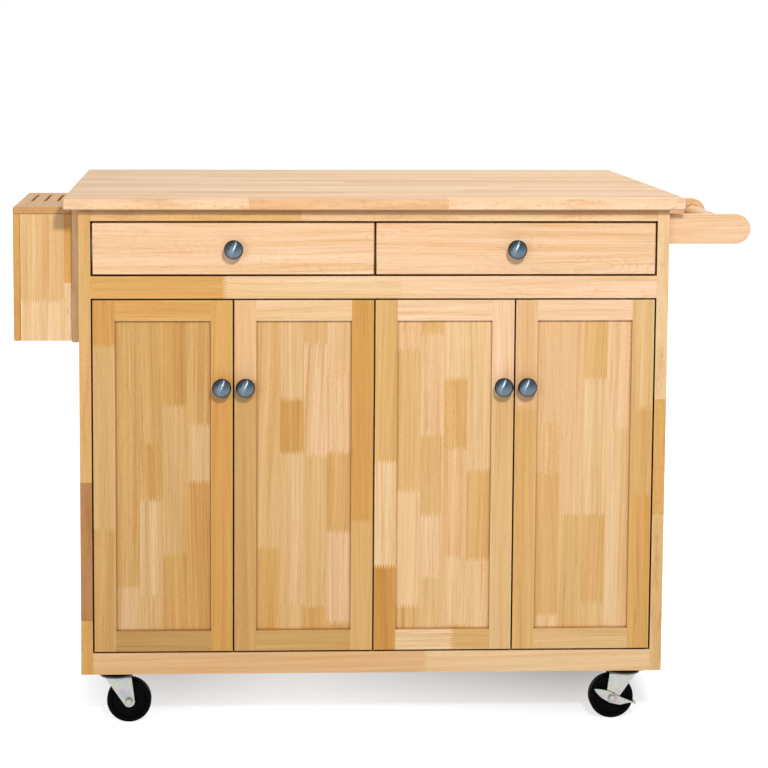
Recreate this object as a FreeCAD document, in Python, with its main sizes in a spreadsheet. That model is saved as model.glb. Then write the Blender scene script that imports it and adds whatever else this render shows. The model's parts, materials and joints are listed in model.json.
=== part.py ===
import FreeCAD, Part
import os
import re
import Sketcher

# Kitchen island cart: a face-framed cupboard of solid rubberwood on four swivel casters, with
# two drawers over four doors, a drop leaf behind the worktop, a knife block on the left side
# and a towel rack on the right.
# Axes: X runs along the front, Y from the front to the back, Z up. The origin lies on the floor
# under the middle of the whole cart's bounding box. All lengths are in millimetres.

SIZES = {
    # worktop and drop leaf
    "top_width": 1040,
    "top_depth": 457,
    "top_thick": 20,
    "top_height": 906,
    "top_ease": 1.5,
    "leaf_depth": 304,
    "leaf_gap": 1,
    # cabinet
    "side_overhang": 24,
    "front_overhang": 20,
    "back_overhang": 25,
    "floor_height": 92,
    "side_thick": 20,
    "partition_thick": 20,
    "partition_setback": 5,
    "bottom_thick": 20,
    "rail_thick": 20,
    "top_rail_tall": 20,
    "top_rail_deep": 60,
    "middle_rail_tall": 37.5,
    "bottom_rail_tall": 37,
    "drawer_row_tall": 92.5,
    "rear_rail_tall": 60,
    "back_thick": 6,
    "front_gap": 2.8,
    "front_thick": 19,
    # shelves on pins
    "shelf_thick": 16,
    "shelf_lift": 300,
    "shelf_setback": 24,
    "shelf_play": 1,
    "pin_radius": 2.5,
    "pin_bore_play": 0.05,
    "pin_bore_deep": 10,
    "pin_bore_spare": 1,
    "pin_reach": 8,
    "pin_collar_radius": 4.5,
    "pin_collar_thick": 1,
    "pin_pitch": 64,
    "pin_rows": 3,
    "pin_inset": 40,
    # framed doors
    "stile_wide": 37,
    "door_rail_tall": 35,
    "front_ease": 1,
    "panel_thick": 8,
    "panel_recess": 6,
    "panel_groove": 8,
    "panel_play": 1,
    # knobs
    "knob_radius": 16,
    "knob_reach": 28,
    "knob_rim": 5,
    "knob_edge": 2,
    "knob_head": 15,
    "knob_flare": 3,
    "knob_neck_radius": 6.5,
    "knob_foot_radius": 10,
    "knob_foot_thick": 3,
    "knob_foot_cone": 2,
    "knob_flare_radius": 14,
    "knob_dome_radius": 20,
    "knob_lift": 455,
    # pivot pins in the doors' ends
    "pivot_inset": 12,
    "pivot_setback": 4.5,
    "pivot_pin_radius": 2,
    "pivot_pin_deep": 14,
    "pivot_bore_spare": 1,
    "pivot_bore_play": 0.05,
    "pivot_collar_radius": 3.8,
    "pivot_collar_play": 0.1,
    # drawers
    "drawer_side_tall": 65,
    "drawer_side_thick": 12,
    "drawer_back_gap": 17,
    "drawer_lift": 11,
    "drawer_bottom_thick": 5,
    "drawer_bottom_lift": 8,
    "drawer_groove": 6,
    "drawer_bottom_play": 0.5,
    # nested steel drawer runners
    "runner_wide": 12.5,
    "runner_tall": 35,
    "runner_sheet": 1.5,
    "runner_fixed_reach": 9,
    "runner_moving_reach": 9,
    "runner_gap": 0.3,
    "runner_setback": 10,
    # knife block
    "block_mount_thick": 15.5,
    "block_mount_drop": 3,
    "block_wide": 98,
    "block_tall": 228,
    "block_board": 12,
    "block_ease": 1,
    "block_setback": 59,
    "block_rear_setback": 22,
    "block_top_drop": 1,
    "slot_wide": 5,
    "slot_pitch": 22.5,
    "slot_count": 3,
    "slot_setback": 131,
    "slot_rear_setback": 45,
    "slot_first": 22,
    # towel rack
    "arm_reach": 141,
    "arm_tall": 50,
    "arm_thick": 18,
    "arm_ease": 1,
    "arm_drop": 9.5,
    "arm_setback": 14,
    "bar_radius": 12.5,
    "bar_housed": 9,
    "bar_play": 0.1,
    # leaf hinges under the seam
    "hinge_long": 76,
    "hinge_wing": 22,
    "hinge_sheet": 1.5,
    "hinge_knuckle_radius": 3,
    "hinge_pin_radius": 1.5,
    "hinge_play": 0.05,
    "hinge_knuckle_gap": 0.3,
    "hinge_end_gap": 102,
    # folding stays under the leaf
    "stay_sheet": 2,
    "stay_link_thick": 3,
    "stay_link_half": 6,
    "stay_pin_radius": 3,
    "stay_play": 0.05,
    "stay_side_gap": 0.3,
    "stay_wall_drop": 114,
    "stay_leaf_reach": 170,
    "stay_pivot_off": 11,
    "stay_leaf_pivot_off": 17,
    "stay_plate_long": 90,
    "stay_plate_wide": 18,
    # casters
    "caster_inset_side": 57.5,
    "caster_inset_front": 39,
    "caster_plate": 64,
    "caster_plate_thick": 2.5,
    "caster_corner": 6,
    "caster_bolt_spacing": 46,
    "caster_bolt_radius": 3.5,
    "race_radius": 25,
    "race_foot_radius": 20,
    "race_tall": 5.5,
    "race_rim": 1.5,
    "swivel_gap": 0.3,
    "kingpin_radius": 5,
    "kingpin_head_radius": 9,
    "kingpin_head_thick": 2.5,
    "kingpin_play": 0.05,
    "fork_sheet": 2.5,
    "fork_inner": 28,
    "crown_radius": 28,
    "leg_front": 21,
    "leg_back": 26,
    "leg_end_radius": 10,
    "leg_flank_in": 6,
    "leg_flank_drop": 8,
    "caster_trail": 22,
    "wheel_radius": 38,
    "wheel_wide": 24,
    "wheel_shoulder": 4,
    "wheel_dish": 2.5,
    "wheel_dish_radius": 28,
    "hub_radius": 11,
    "hub_wide": 27.4,
    "dish_slope": 2,
    "axle_radius": 4,
    "axle_play": 0.05,
    "axle_washer_radius": 6.5,
    "axle_washer_thick": 1.2,
    "axle_head_radius": 4.5,
    "axle_head_thick": 3,
    # side brakes
    "brake_sheet": 2,
    "brake_play": 0.3,
    "brake_tilt": 20,
    "brake_heel": 34.5,
    "brake_neck": 31,
    "brake_toe": 38.6,
    "brake_tab": 4,
    "brake_rise": 4,
    "brake_hub": 8,
    "brake_shoulder": 6.6,
    "brake_keel_back": 7,
    "brake_keel_front": 18,
    "brake_keel_drop": 6.5,
    "brake_neck_drop": 2,
    "brake_belly_radius": 48,
    "brake_keel_radius": 60,
    "brake_back_radius": 70,
}

# Places and sizes that follow from the driving ones, spelled as formulas.
DERIVED = {
    "underside": "top_height - top_thick",
    "cabinet_width": "top_width - 2 * side_overhang",
    "cabinet_depth": "top_depth - front_overhang - back_overhang",
    "block_reach": "block_mount_thick + block_wide",
    "centre_x": "(block_reach - arm_reach) / 2",
    "leaf_back": "top_depth + leaf_gap + leaf_depth",
    "front_y": "0 - (leaf_back + front_overhang - knob_reach) / 2",
    "cabinet_y": "front_y + front_overhang",
    "cabinet_back_y": "cabinet_y + cabinet_depth",
    "left_x": "centre_x - cabinet_width / 2",
    "right_x": "centre_x + cabinet_width / 2",
    "inner_wide": "cabinet_width - 2 * side_thick",
    "inner_left_x": "left_x + side_thick",
    "inner_right_x": "right_x - side_thick",
    "bay_wide": "(inner_wide - partition_thick) / 2",
    "drawer_top_z": "underside - top_rail_tall",
    "middle_rail_z": "drawer_top_z - drawer_row_tall - middle_rail_tall",
    "drawer_row_z": "drawer_top_z - drawer_row_tall",
    "door_row_z": "floor_height + bottom_rail_tall",
    "inner_floor_z": "floor_height + bottom_thick",
    "shelf_height": "inner_floor_z + shelf_lift",
    "rear_rail_y": "cabinet_back_y - rail_thick",
    "back_y": "rear_rail_y - back_thick",
    "interior_y": "cabinet_y + rail_thick",
    "partition_deep": "back_y - interior_y",
    "door_wide": "(inner_wide - 5 * front_gap) / 4",
    "door_tall": "middle_rail_z - door_row_z - 2 * front_gap",
    "door_z": "door_row_z + front_gap",
    "knob_height": "door_z + knob_lift",
    "drawer_front_wide": "(inner_wide - 3 * front_gap) / 2",
    "drawer_front_tall": "drawer_row_tall - 2 * front_gap",
    "drawer_box_wide": "bay_wide - 2 * runner_wide",
    "drawer_box_z": "drawer_row_z + drawer_lift",
    "drawer_inner_wide": "drawer_box_wide - 2 * drawer_side_thick",
    "drawer_box_y": "cabinet_y + front_thick",
    "drawer_deep": "back_y - drawer_box_y - drawer_back_gap",
    "runner_long": "drawer_deep - runner_setback",
    "runner_z": "drawer_box_z + (drawer_side_tall - runner_tall) / 2",
    "block_z": "underside - block_top_drop - block_tall",
    "block_y": "cabinet_y + block_setback",
    "block_x": "left_x - block_reach",
    "block_deep": "cabinet_depth - block_setback - block_rear_setback",
    "block_inner_wide": "block_wide - 2 * block_board",
    "slot_long": "block_deep - slot_setback - slot_rear_setback",
    "arm_y": "cabinet_y + arm_setback",
    "arm_z": "underside - arm_drop - arm_tall",
    "arm_spacing": "cabinet_depth - 2 * arm_setback - arm_thick",
    "bar_x": "right_x + arm_reach - arm_tall / 2",
    "bar_z": "arm_z + arm_tall / 2",
    "hinge_y": "front_y + top_depth + leaf_gap / 2",
    "hinge_z": "underside - hinge_knuckle_radius",
    "hinge_spacing": "top_width / 2 - hinge_end_gap - hinge_long / 2",
    "stay_ground_y": "cabinet_back_y + stay_pivot_off",
    "stay_ground_z": "underside - stay_wall_drop",
    "stay_leaf_y": "hinge_y + stay_leaf_reach",
    "stay_leaf_z": "underside - stay_leaf_pivot_off",
    "stay_folded_y": "hinge_y - (hinge_z - stay_leaf_z)",
    "stay_folded_z": "hinge_z - stay_leaf_reach",
    "stay_open_span": "sqrt((stay_leaf_y - stay_ground_y)^2 + (stay_leaf_z - stay_ground_z)^2)",
    "stay_shut_span": "sqrt((stay_folded_y - stay_ground_y)^2 + (stay_ground_z - stay_folded_z)^2)",
    "stay_lower_long": "(stay_open_span - stay_shut_span) / 2",
    "stay_upper_long": "(stay_open_span + stay_shut_span) / 2",
    "stay_tilt": "atan2(stay_leaf_z - stay_ground_z; stay_leaf_y - stay_ground_y)",
    "stay_pitch": "stay_link_thick + stay_side_gap",
    "caster_race_z": "floor_height - caster_plate_thick - race_tall",
    "crown_top_z": "caster_race_z - swivel_gap",
    "crown_z": "crown_top_z - fork_sheet",
    "fork_wide": "fork_inner + 2 * fork_sheet",
    "brake_inner": "fork_wide + 2 * brake_play",
    "brake_wide": "brake_inner + 2 * brake_sheet",
}

# each door's number, and whether its pivots stand at its left edge
DOORS = ((1, True), (2, False), (3, True), (4, False))

LABELS = []
V = FreeCAD.Vector
doc = FreeCAD.newDocument("KitchenIslandCart")
sheet = doc.addObject("Spreadsheet::Sheet", "Sizes")
for row, (alias, value) in enumerate(SIZES.items(), 1):
    sheet.set(f"A{row}", alias)
    sheet.set(f"B{row}", str(value))
    sheet.setAlias(f"B{row}", alias)
doc.recompute()


def formula(text):
    """Spell a formula in the sheet's cells, opening each derived name up into its own formula."""
    def spell(match):
        word = match.group()
        if word in DERIVED:
            return f"({formula(DERIVED[word])})"
        return f"Sizes.{word}" if word in SIZES else word
    return re.sub(r"[a-z]\w*", spell, str(text))


def value(text):
    """The number that a formula gives now."""
    number = sheet.evalExpression(formula(text))
    return float(getattr(number, "Value", number))


def bind(item, **formulas):
    """Tie an object's properties to the sheet."""
    for name, text in formulas.items():
        item.setExpression(name, formula(text))
    return item


def place(item, x=0, y=0, z=0, axis=None, angle=0):
    """Put an object at a place tied to the sheet, turned about one axis by an angle in degrees."""
    if axis:
        # a right angle first, because a rotation by nothing forgets its axis
        item.Placement = FreeCAD.Placement(V(0, 0, 0), FreeCAD.Rotation(V(*axis), 90))
        item.setExpression("Placement.Rotation.Angle", formula(angle))
    for letter, text in zip("xyz", (x, y, z)):
        item.setExpression(f"Placement.Base.{letter}", formula(text))
    return item


def keep(item, label=None):
    """List an object as one of the cart's sub-parts, under its own label."""
    item.Label = label or item.Name
    LABELS.append(item.Name)
    return item


def group(label, pieces):
    """Several separate solids that belong to one sub-part."""
    item = doc.addObject("Part::Compound", label)
    item.Links = pieces
    return keep(item)


def origin_plane(body, role):
    return next(item for item in body.Origin.OriginFeatures if item.Role == role)


def sketch_on(body, role, lift=0):
    """An empty sketch on one of the body's own origin planes, lifted off it by a formula."""
    sketch = body.newObject("Sketcher::SketchObject", f"{body.Name}_sketch")
    sketch.AttachmentSupport = [(origin_plane(body, role), "")]
    sketch.MapMode = "FlatFace"
    sketch.setExpression("AttachmentOffset.Base.z", formula(lift))
    return sketch


def tie(sketch, kind, *where, text):
    """A sketch dimension whose value comes from the sheet."""
    number = sketch.addConstraint(Sketcher.Constraint(kind, *where, value(text)))
    sketch.setExpression(f"Constraints[{number}]", formula(text))


def outline(body, role, points, arcs=None, lift=0):
    """A closed outline with every corner tied to the sheet.

    arcs gives the radius of each side that is an arc, by the number of the corner where it
    starts. On an outline that runs anticlockwise, a negative radius makes the arc hollow.
    """
    sketch = sketch_on(body, role, lift)
    arcs = arcs or {}
    spots = [V(value(x), value(y), 0) for x, y in points]
    for n, spot in enumerate(spots):
        goal = spots[(n + 1) % len(spots)]
        if n not in arcs:
            sketch.addGeometry(Part.LineSegment(spot, goal))
            continue
        radius = value(arcs[n])
        chord = goal - spot
        normal = V(chord.y, -chord.x, 0).normalize() * (1 if radius > 0 else -1)
        sagitta = abs(radius) - max(radius**2 - chord.Length**2 / 4, 0) ** 0.5
        middle = (spot + goal) * 0.5 + normal * sagitta
        sketch.addGeometry(Part.Arc(spot, middle, goal))
    starts = []
    for n, spot in enumerate(spots):
        head = sketch.getPoint(n, 1)
        starts.append((1, 2) if head.isEqual(spot, 1e-6) else (2, 1))
    for n in range(len(spots)):
        after = (n + 1) % len(spots)
        sketch.addConstraint(Sketcher.Constraint("Coincident", n, starts[n][1], after, starts[after][0]))
    for n, (x, y) in enumerate(points):
        tie(sketch, "DistanceX", -1, 1, n, starts[n][0], text=x)
        tie(sketch, "DistanceY", -1, 1, n, starts[n][0], text=y)
    for n, radius in arcs.items():
        tie(sketch, "Radius", n, text=f"abs({radius})")
    return sketch


def rectangle(body, role, x0, y0, x1, y1, lift=0):
    return outline(body, role, [(x0, y0), (x1, y0), (x1, y1), (x0, y1)], lift=lift)


def circle(body, role, x, y, radius, lift=0):
    """A round sketch with its centre and radius tied to the sheet."""
    sketch = sketch_on(body, role, lift)
    sketch.addGeometry(Part.Circle(V(value(x), value(y), 0), V(0, 0, 1), value(radius)))
    tie(sketch, "DistanceX", -1, 1, 0, 3, text=x)
    tie(sketch, "DistanceY", -1, 1, 0, 3, text=y)
    tie(sketch, "Radius", 0, text=radius)
    return sketch


def new_body(name):
    return doc.addObject("PartDesign::Body", name)


def feature(body, kind, sketch, **settings):
    item = body.newObject(f"PartDesign::{kind}", f"{body.Name}_{kind.lower()}")
    item.Profile = sketch
    for name, setting in settings.items():
        setattr(item, name, setting)
    return item


def pad(body, sketch, length, **settings):
    return bind(feature(body, "Pad", sketch, **settings), Length=length)


def pocket(body, sketch, length, **settings):
    """Cut a pocket, and make sure that it takes something away."""
    doc.recompute()
    before = body.Shape.Volume
    item = bind(feature(body, "Pocket", sketch, **settings), Length=length)
    doc.recompute()
    if body.Shape.Volume >= before:
        raise RuntimeError(f"a pocket in {body.Name} cuts nothing")
    return item


def revolve(body, sketch, axis="V_Axis"):
    return feature(body, "Revolution", sketch, ReferenceAxis=(sketch, [axis]), Angle=360)


def ease(body, size):
    """Break every edge of a body lightly."""
    doc.recompute()
    base = body.Tip
    item = body.newObject("PartDesign::Chamfer", f"{body.Name}_ease")
    item.Base = (base, ["Edge1"])
    item.UseAllEdges = True
    return bind(item, Size=size)


def board(name, size, corner=(0, 0, 0), eased=None):
    """A straight board, padded up from its footprint."""
    body = new_body(name)
    wide, deep, tall = size
    pad(body, rectangle(body, "XY_Plane", 0, 0, wide, deep), tall)
    if eased:
        ease(body, eased)
    return place(body, *corner)


# ---------------------------------------------------------------- worktop, cabinet and shelves

def make_tops():
    """The fixed worktop and the drop leaf behind it."""
    x = "centre_x - top_width / 2"
    keep(board("worktop", ("top_width", "top_depth", "top_thick"), (x, "front_y", "underside"), "top_ease"))
    leaf_y = "front_y + top_depth + leaf_gap"
    keep(board("drop_leaf", ("top_width", "leaf_depth", "top_thick"), (x, leaf_y, "underside"), "top_ease"))


def make_cabinet():
    """Sides, partition, bottom, rails and back of the cupboard."""
    side_size = ("side_thick", "cabinet_depth", "underside - floor_height")
    left = board("left_side", side_size, ("left_x", "cabinet_y", "floor_height"))
    right = board("right_side", side_size, ("inner_right_x", "cabinet_y", "floor_height"))
    # the pin holes face the partition's own, which starts one rail behind the sides
    for body, x, inward in ((left, "side_thick", False), (right, 0, True)):
        for y in ("rail_thick + pin_inset", "rail_thick + partition_deep - pin_inset"):
            sketch = circle(body, "YZ_Plane", y, "shelf_height - pin_pitch - pin_radius - floor_height",
                            "pin_radius + pin_bore_play", lift=x)
            bore_column(body, sketch, inward)
        keep(body)

    partition = new_body("centre_partition")
    top_z = "underside - inner_floor_z"
    notch_y = "top_rail_deep - rail_thick"
    # the front edge stands back behind the doors and drawers, and meets each rail with a tongue
    steps = [f"{z} - inner_floor_z" for z in ("drawer_top_z", "drawer_row_z", "middle_rail_z", "door_row_z")]
    profile = [(0, 0), ("partition_deep", 0), ("partition_deep", top_z), (notch_y, top_z),
               (notch_y, steps[0]), ("partition_setback", steps[0]), ("partition_setback", steps[1]),
               (0, steps[1]), (0, steps[2]), ("partition_setback", steps[2]),
               ("partition_setback", steps[3]), (0, steps[3])]
    pad(partition, outline(partition, "YZ_Plane", profile), "partition_thick")
    for y in ("pin_inset", "partition_deep - pin_inset"):
        sketch = circle(partition, "YZ_Plane", y, "shelf_height - pin_pitch - pin_radius - inner_floor_z",
                        "pin_radius + pin_bore_play")
        bore_column(partition, sketch, True, through=True)
    keep(place(partition, "centre_x - partition_thick / 2", "interior_y", "inner_floor_z"))

    keep(board("bottom_board", ("inner_wide", "cabinet_depth - rail_thick", "bottom_thick"),
               ("inner_left_x", "interior_y", "floor_height")))
    keep(board("back_panel", ("inner_wide", "back_thick", "underside - inner_floor_z"),
               ("inner_left_x", "back_y", "inner_floor_z")))
    keep(board("top_rail", ("inner_wide", "top_rail_deep", "top_rail_tall"),
               ("inner_left_x", "cabinet_y", "drawer_top_z")))
    middle = board("middle_rail", ("inner_wide", "rail_thick", "middle_rail_tall"),
                   ("inner_left_x", "cabinet_y", "middle_rail_z"))
    bore_rail_for_pivots(keep(middle), 0, True)
    bottom = board("bottom_rail", ("inner_wide", "rail_thick", "bottom_rail_tall"),
                   ("inner_left_x", "cabinet_y", "floor_height"))
    bore_rail_for_pivots(keep(bottom), "bottom_rail_tall", False)
    rear_size = ("inner_wide", "rail_thick", "rear_rail_tall")
    group("rear_rails", [
        board("rear_rail_low", rear_size, ("inner_left_x", "rear_rail_y", "inner_floor_z")),
        board("rear_rail_high", rear_size, ("inner_left_x", "rear_rail_y", "underside - rear_rail_tall")),
    ])


def bore_column(body, sketch, inward, through=False):
    """A column of equal holes for shelf pins, its lowest hole drawn in a sketch."""
    depth = "partition_thick" if through else "pin_bore_deep"
    bore = pocket(body, sketch, depth, Reversed=inward)
    column = body.newObject("PartDesign::LinearPattern", f"{body.Name}_holes")
    column.Originals = [bore]
    column.Direction = (sketch, ["V_Axis"])
    bind(column, Length="pin_pitch * (pin_rows - 1)", Occurrences="pin_rows")
    body.Tip = column


def make_shelves():
    """One shelf in each half of the cupboard, lying on four pins."""
    shelf_size = ("bay_wide - 2 * shelf_play - 2 * pin_collar_thick",
                  "partition_deep - shelf_setback - shelf_play", "shelf_thick")
    shelf_y = "interior_y + shelf_setback"
    bays = ("inner_left_x", "centre_x + partition_thick / 2")
    group("shelves", [
        board(f"shelf_{side}", shelf_size, (f"{x} + shelf_play + pin_collar_thick", shelf_y, "shelf_height"))
        for side, x in zip(("left", "right"), bays)
    ])

    pins = []
    walls = (("inner_left_x", 1), ("centre_x - partition_thick / 2", -1),
             ("centre_x + partition_thick / 2", 1), ("inner_right_x", -1))
    for x, way in walls:
        for y in ("interior_y + pin_inset", "back_y - pin_inset"):
            pins.append(make_pin(f"shelf_pin_{len(pins) + 1}", x, y, way))
    group("shelf_pins", pins)


def make_pin(name, x, y, way):
    """A turned shelf pin: a peg in the wall, a collar on its face and a peg under the shelf."""
    pin = new_body(name)
    root = "0 - pin_bore_deep + pin_bore_spare"
    profile = [(0, root), ("pin_radius", root), ("pin_radius", 0), ("pin_collar_radius", 0),
               ("pin_collar_radius", "pin_collar_thick"), ("pin_radius", "pin_collar_thick"),
               ("pin_radius", "pin_reach"), (0, "pin_reach")]
    revolve(pin, outline(pin, "XY_Plane", profile))
    return place(pin, x, y, "shelf_height - pin_radius", (0, 0, 1), -90 * way)


# ---------------------------------------------------------------- doors and drawers

def make_knob(name, x, z):
    """A turned knob: a foot, a waisted neck and a low dome, standing out of a front's face."""
    knob = new_body(name)
    profile = [(0, 0), ("knob_foot_radius", 0), ("knob_foot_radius", "knob_foot_thick"),
               ("knob_neck_radius", "knob_foot_thick + knob_foot_cone"),
               ("knob_neck_radius", "knob_head - knob_flare"), ("knob_radius", "knob_head + knob_edge"),
               ("knob_radius", "knob_head + knob_rim"),
               (0, "knob_reach")]
    arcs = {4: "0 - knob_flare_radius", 6: "knob_dome_radius"}
    revolve(knob, outline(knob, "XY_Plane", profile, arcs))
    return keep(place(knob, x, "cabinet_y", z, (0, 0, 1), 180))


def make_stile(name, x, turned):
    """A door stile: a full-height board with a groove along its inner edge for the panel."""
    stile = new_body(name)
    groove_y = "panel_recess"
    groove_end = "panel_recess + panel_thick"
    inner = "stile_wide - panel_groove"
    profile = [(0, 0), ("stile_wide", 0), ("stile_wide", groove_y), (inner, groove_y),
               (inner, groove_end), ("stile_wide", groove_end), ("stile_wide", "front_thick"),
               (0, "front_thick")]
    if turned:
        profile = [(f"stile_wide - ({px})", py) for px, py in reversed(profile)]
    pad(stile, outline(stile, "XY_Plane", profile), "door_tall")
    return place(stile, x, "cabinet_y", "door_z")


def make_door_rail(name, x, z, upper):
    """A door rail: grooved along its inner edge, with a stub tenon at each end."""
    rail = new_body(name)
    inner = "door_rail_tall - panel_groove"
    groove_end = "panel_recess + panel_thick"
    profile = [(0, 0), ("front_thick", 0), ("front_thick", "door_rail_tall"), (groove_end, "door_rail_tall"),
               (groove_end, inner), ("panel_recess", inner), ("panel_recess", "door_rail_tall"),
               (0, "door_rail_tall")]
    tenon = ("panel_recess", 0, groove_end, inner)
    if upper:
        profile = [(py, f"door_rail_tall - ({pz})") for py, pz in reversed(profile)]
        tenon = ("panel_recess", "panel_groove", groove_end, "door_rail_tall")
    pad(rail, outline(rail, "YZ_Plane", profile), "door_wide - 2 * stile_wide")
    tenons = rectangle(rail, "YZ_Plane", *tenon, lift="0 - panel_groove")
    pad(rail, tenons, "door_wide - 2 * stile_wide + 2 * panel_groove")
    return place(rail, x, "cabinet_y", z)


def make_door(number, on_left):
    """A framed door with a floating panel, a knob on its free stile and pivots in its hinge stile."""
    name = f"door_{number}"
    x = door_place(number)
    edge = "panel_groove - panel_play"
    panel = board(f"{name}_panel",
                  (f"door_wide - 2 * stile_wide + 2 * ({edge})", "panel_thick",
                   f"door_tall - 2 * door_rail_tall + 2 * ({edge})"),
                  (f"{x} + stile_wide - ({edge})", "cabinet_y + panel_recess",
                   f"door_z + door_rail_tall - ({edge})"))
    pieces = [
        make_stile(f"{name}_stile_left", x, False),
        make_stile(f"{name}_stile_right", f"{x} + door_wide - stile_wide", True),
        make_door_rail(f"{name}_rail_low", f"{x} + stile_wide", "door_z", False),
        make_door_rail(f"{name}_rail_high", f"{x} + stile_wide", "door_z + door_tall - door_rail_tall", True),
        panel,
    ]
    free_stile = "door_wide - stile_wide / 2" if on_left else "stile_wide / 2"
    inset = "pivot_inset" if on_left else "stile_wide - pivot_inset"
    hinge_stile = pieces[0 if on_left else 1]
    for z, upward in ((0, False), ("door_tall", True)):
        bore = circle(hinge_stile, "XY_Plane", inset, "pivot_setback", "pivot_pin_radius", lift=z)
        pocket(hinge_stile, bore, "pivot_pin_deep", Reversed=not upward)
    group(name, pieces)
    make_knob(f"{name}_knob", f"{x} + {free_stile}", "knob_height")
    pivot_x = pivot_place(number, on_left)
    group(f"{name}_pivots", [
        pivot_pin(f"{name}_pivot_low", pivot_x, "door_z", 180),
        pivot_pin(f"{name}_pivot_high", pivot_x, "door_z + door_tall", 0),
    ])


def door_place(number):
    """Where a door's left edge stands along the front."""
    return f"inner_left_x + front_gap + {number - 1} * (door_wide + front_gap)"


def pivot_place(number, on_left):
    """Where the axis of a door's pivots stands along the front."""
    x = door_place(number)
    return f"{x} + pivot_inset" if on_left else f"{x} + door_wide - pivot_inset"


def pivot_pin(name, x, z, turn):
    """A steel pivot pin: pressed into a stile's end, with a collar in the gap and a journal in the rail."""
    pin = new_body(name)
    collar_top = "front_gap - pivot_collar_play"
    tip = "front_gap + pivot_pin_deep - pivot_bore_spare"
    profile = [(0, "0 - pivot_pin_deep"), ("pivot_pin_radius", "0 - pivot_pin_deep"), ("pivot_pin_radius", 0),
               ("pivot_collar_radius", 0), ("pivot_collar_radius", collar_top),
               ("pivot_pin_radius", collar_top), ("pivot_pin_radius", tip), (0, tip)]
    revolve(pin, outline(pin, "XZ_Plane", profile))
    return place(pin, x, "cabinet_y + pivot_setback", z, (1, 0, 0), turn)


def bore_rail_for_pivots(rail, z, upward):
    """The journals' holes in a rail, two for each pair of doors."""
    for number, on_left in DOORS:
        x = f"{pivot_place(number, on_left)} - inner_left_x"
        bore = circle(rail, "XY_Plane", x, "pivot_setback", "pivot_pin_radius + pivot_bore_play", lift=z)
        pocket(rail, bore, "pivot_pin_deep", Reversed=upward)


def make_drawer(number, side):
    """A drawer: a flat front, a box on it, a thin bottom, a knob and the moving runners."""
    name = f"drawer_{number}"
    front_x = f"inner_left_x + front_gap + {number - 1} * (drawer_front_wide + front_gap)"
    keep(board(f"{name}_front", ("drawer_front_wide", "front_thick", "drawer_front_tall"),
               (front_x, "cabinet_y", "drawer_row_z + front_gap"), "front_ease"))
    make_knob(f"{name}_knob", f"{front_x} + drawer_front_wide / 2", "drawer_row_z + drawer_row_tall / 2")

    bay_x = "inner_left_x" if side == "left" else "centre_x + partition_thick / 2"
    box_x = f"{bay_x} + runner_wide"
    back_y = "drawer_box_y + drawer_deep"
    end_y = f"{back_y} - drawer_side_thick"
    group(f"{name}_box", [
        grooved_board(f"{name}_side_left", "XZ_Plane", "drawer_deep", box_x, back_y, False),
        grooved_board(f"{name}_side_right", "XZ_Plane", "drawer_deep",
                      f"{box_x} + drawer_box_wide - drawer_side_thick", back_y, True),
        grooved_board(f"{name}_end_front", "YZ_Plane", "drawer_inner_wide",
                      f"{box_x} + drawer_side_thick", "drawer_box_y", False),
        grooved_board(f"{name}_end_back", "YZ_Plane", "drawer_inner_wide", f"{box_x} + drawer_side_thick",
                      end_y, True),
    ])
    inset = "(drawer_side_thick - drawer_groove + drawer_bottom_play)"
    bottom_size = (f"drawer_box_wide - 2 * {inset}", f"drawer_deep - 2 * {inset}", "drawer_bottom_thick")
    keep(board(f"{name}_bottom", bottom_size,
               (f"{box_x} + {inset}", f"drawer_box_y + {inset}", "drawer_box_z + drawer_bottom_lift")))
    group(f"{name}_runners", [
        channel(f"{name}_runner_left", box_x, True, "moving"),
        channel(f"{name}_runner_right", f"{box_x} + drawer_box_wide", False, "moving"),
    ])


def grooved_board(name, role, length, x, y, flipped):
    """A drawer side or end: an upright board with a groove for the bottom low on its inner face."""
    item = new_body(name)
    low = "drawer_bottom_lift"
    high = "drawer_bottom_lift + drawer_bottom_thick"
    root = "drawer_side_thick - drawer_groove"
    face = "drawer_side_thick"
    profile = [(0, 0), (face, 0), (face, low), (root, low), (root, high), (face, high),
               (face, "drawer_side_tall"), (0, "drawer_side_tall")]
    if flipped:
        profile = [(f"{face} - ({u})", w) for u, w in reversed(profile)]
    pad(item, outline(item, role, profile), length)
    return place(item, x, y, "drawer_box_z")


def channel(name, x, opens_right, member):
    """One member of a nested steel runner: a channel with its web on a wall and its lips inwards."""
    item = new_body(name)
    if member == "fixed":
        tall, reach = "runner_tall", "runner_fixed_reach"
    else:
        tall, reach = "(runner_tall - 2 * runner_sheet - 2 * runner_gap)", "runner_moving_reach"
    way = -1 if (opens_right == (member == "moving")) else 1
    sheet_in = f"({tall} - runner_sheet)"
    profile = [(0, 0), (f"{way} * {reach}", 0), (f"{way} * {reach}", "runner_sheet"),
               (f"{way} * runner_sheet", "runner_sheet"), (f"{way} * runner_sheet", sheet_in),
               (f"{way} * {reach}", sheet_in), (f"{way} * {reach}", tall), (0, tall)]
    pad(item, outline(item, "XZ_Plane", profile), "runner_long")
    lift = "runner_z" if member == "fixed" else "runner_z + runner_sheet + runner_gap"
    return place(item, x, "drawer_box_y + runner_long", lift)


def make_fixed_runners():
    walls = (("inner_left_x", True), ("centre_x - partition_thick / 2", False),
             ("centre_x + partition_thick / 2", True), ("inner_right_x", False))
    group("drawer_runners_fixed",
          [channel(f"runner_fixed_{n}", x, right, "fixed") for n, (x, right) in enumerate(walls, 1)])


# ---------------------------------------------------------------- knife block and towel rack

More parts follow.
